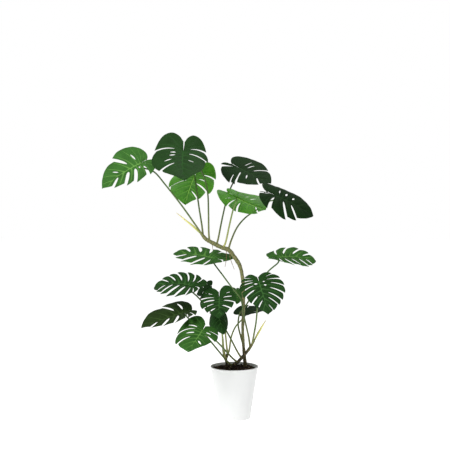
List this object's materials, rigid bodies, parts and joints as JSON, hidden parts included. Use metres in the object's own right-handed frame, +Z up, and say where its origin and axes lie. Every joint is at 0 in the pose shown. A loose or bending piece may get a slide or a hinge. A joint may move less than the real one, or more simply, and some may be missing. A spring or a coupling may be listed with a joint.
{
  "type": "potted plant",
  "caption": "Tall monstera with split heart-shaped leaves on long stalks, rooted in a plain round tapered pot that stands on its flat base.",
  "frame": {"origin": "middle of the pot's flat underside", "axes": "+Z up along the pot's axis, -Y towards the side the plant is seen from, +X to that viewer's right"},
  "size_m": [0.9503, 0.581, 1.2684],
  "materials": {
    "pot": "satin white",
    "soil": "loose, dark and damp",
    "main_stem": "ringed bark, brown to olive",
    "cane": "ringed bark, dark brown",
    "aerial_root": "matte brown",
    "new_leaf": "satin yellow",
    "petiole": "satin olive green",
    "leaf_pale": "matte pale underside",
    "leaf_dark": "glossy dark green",
    "leaf_green": "glossy green"
  },
  "bodies": {
    "root": {"aerial_root_long": "aerial_root", "aerial_root_middle": "aerial_root", "aerial_root_short": "aerial_root", "back_cane": "cane", "leaf_back_left_blade": "leaf_dark", "leaf_back_left_petiole": "petiole", "leaf_back_right_blade": "leaf_dark", "leaf_back_right_petiole": "petiole", "leaf_far_right_blade": "leaf_dark", "leaf_far_right_petiole": "petiole", "leaf_lower_centre_blade": "leaf_green", "leaf_lower_centre_petiole": "petiole", "leaf_lower_front_blade": "leaf_green", "leaf_lower_front_petiole": "petiole", "leaf_lower_left_blade": "leaf_green", "leaf_lower_left_petiole": "petiole", "leaf_middle_front_blade": "leaf_green", "leaf_middle_front_petiole": "petiole", "leaf_middle_left_blade": "leaf_green", "leaf_middle_left_petiole": "petiole", "leaf_middle_right_blade": "leaf_green", "leaf_middle_right_petiole": "petiole", "leaf_middle_small_blade": "leaf_green", "leaf_middle_small_petiole": "petiole", "leaf_right_pale_blade": "leaf_pale", "leaf_right_pale_petiole": "petiole", "leaf_top_centre_blade": "leaf_dark", "leaf_top_centre_petiole": "petiole", "leaf_top_left_blade": "leaf_green", "leaf_top_left_petiole": "petiole", "leaf_top_pale_blade": "leaf_pale", "leaf_top_pale_petiole": "petiole", "leaf_top_right_blade": "leaf_dark", "leaf_top_right_petiole": "petiole", "leaf_upper_left_blade": "leaf_green", "leaf_upper_left_petiole": "petiole", "leaf_upper_right_blade": "leaf_green", "leaf_upper_right_petiole": "petiole", "main_stem": "main_stem", "new_leaf_side": "new_leaf", "new_leaf_top": "new_leaf", "pot": "pot", "potting_soil": "soil", "side_cane": "cane"}
  },
  "joints": []
}
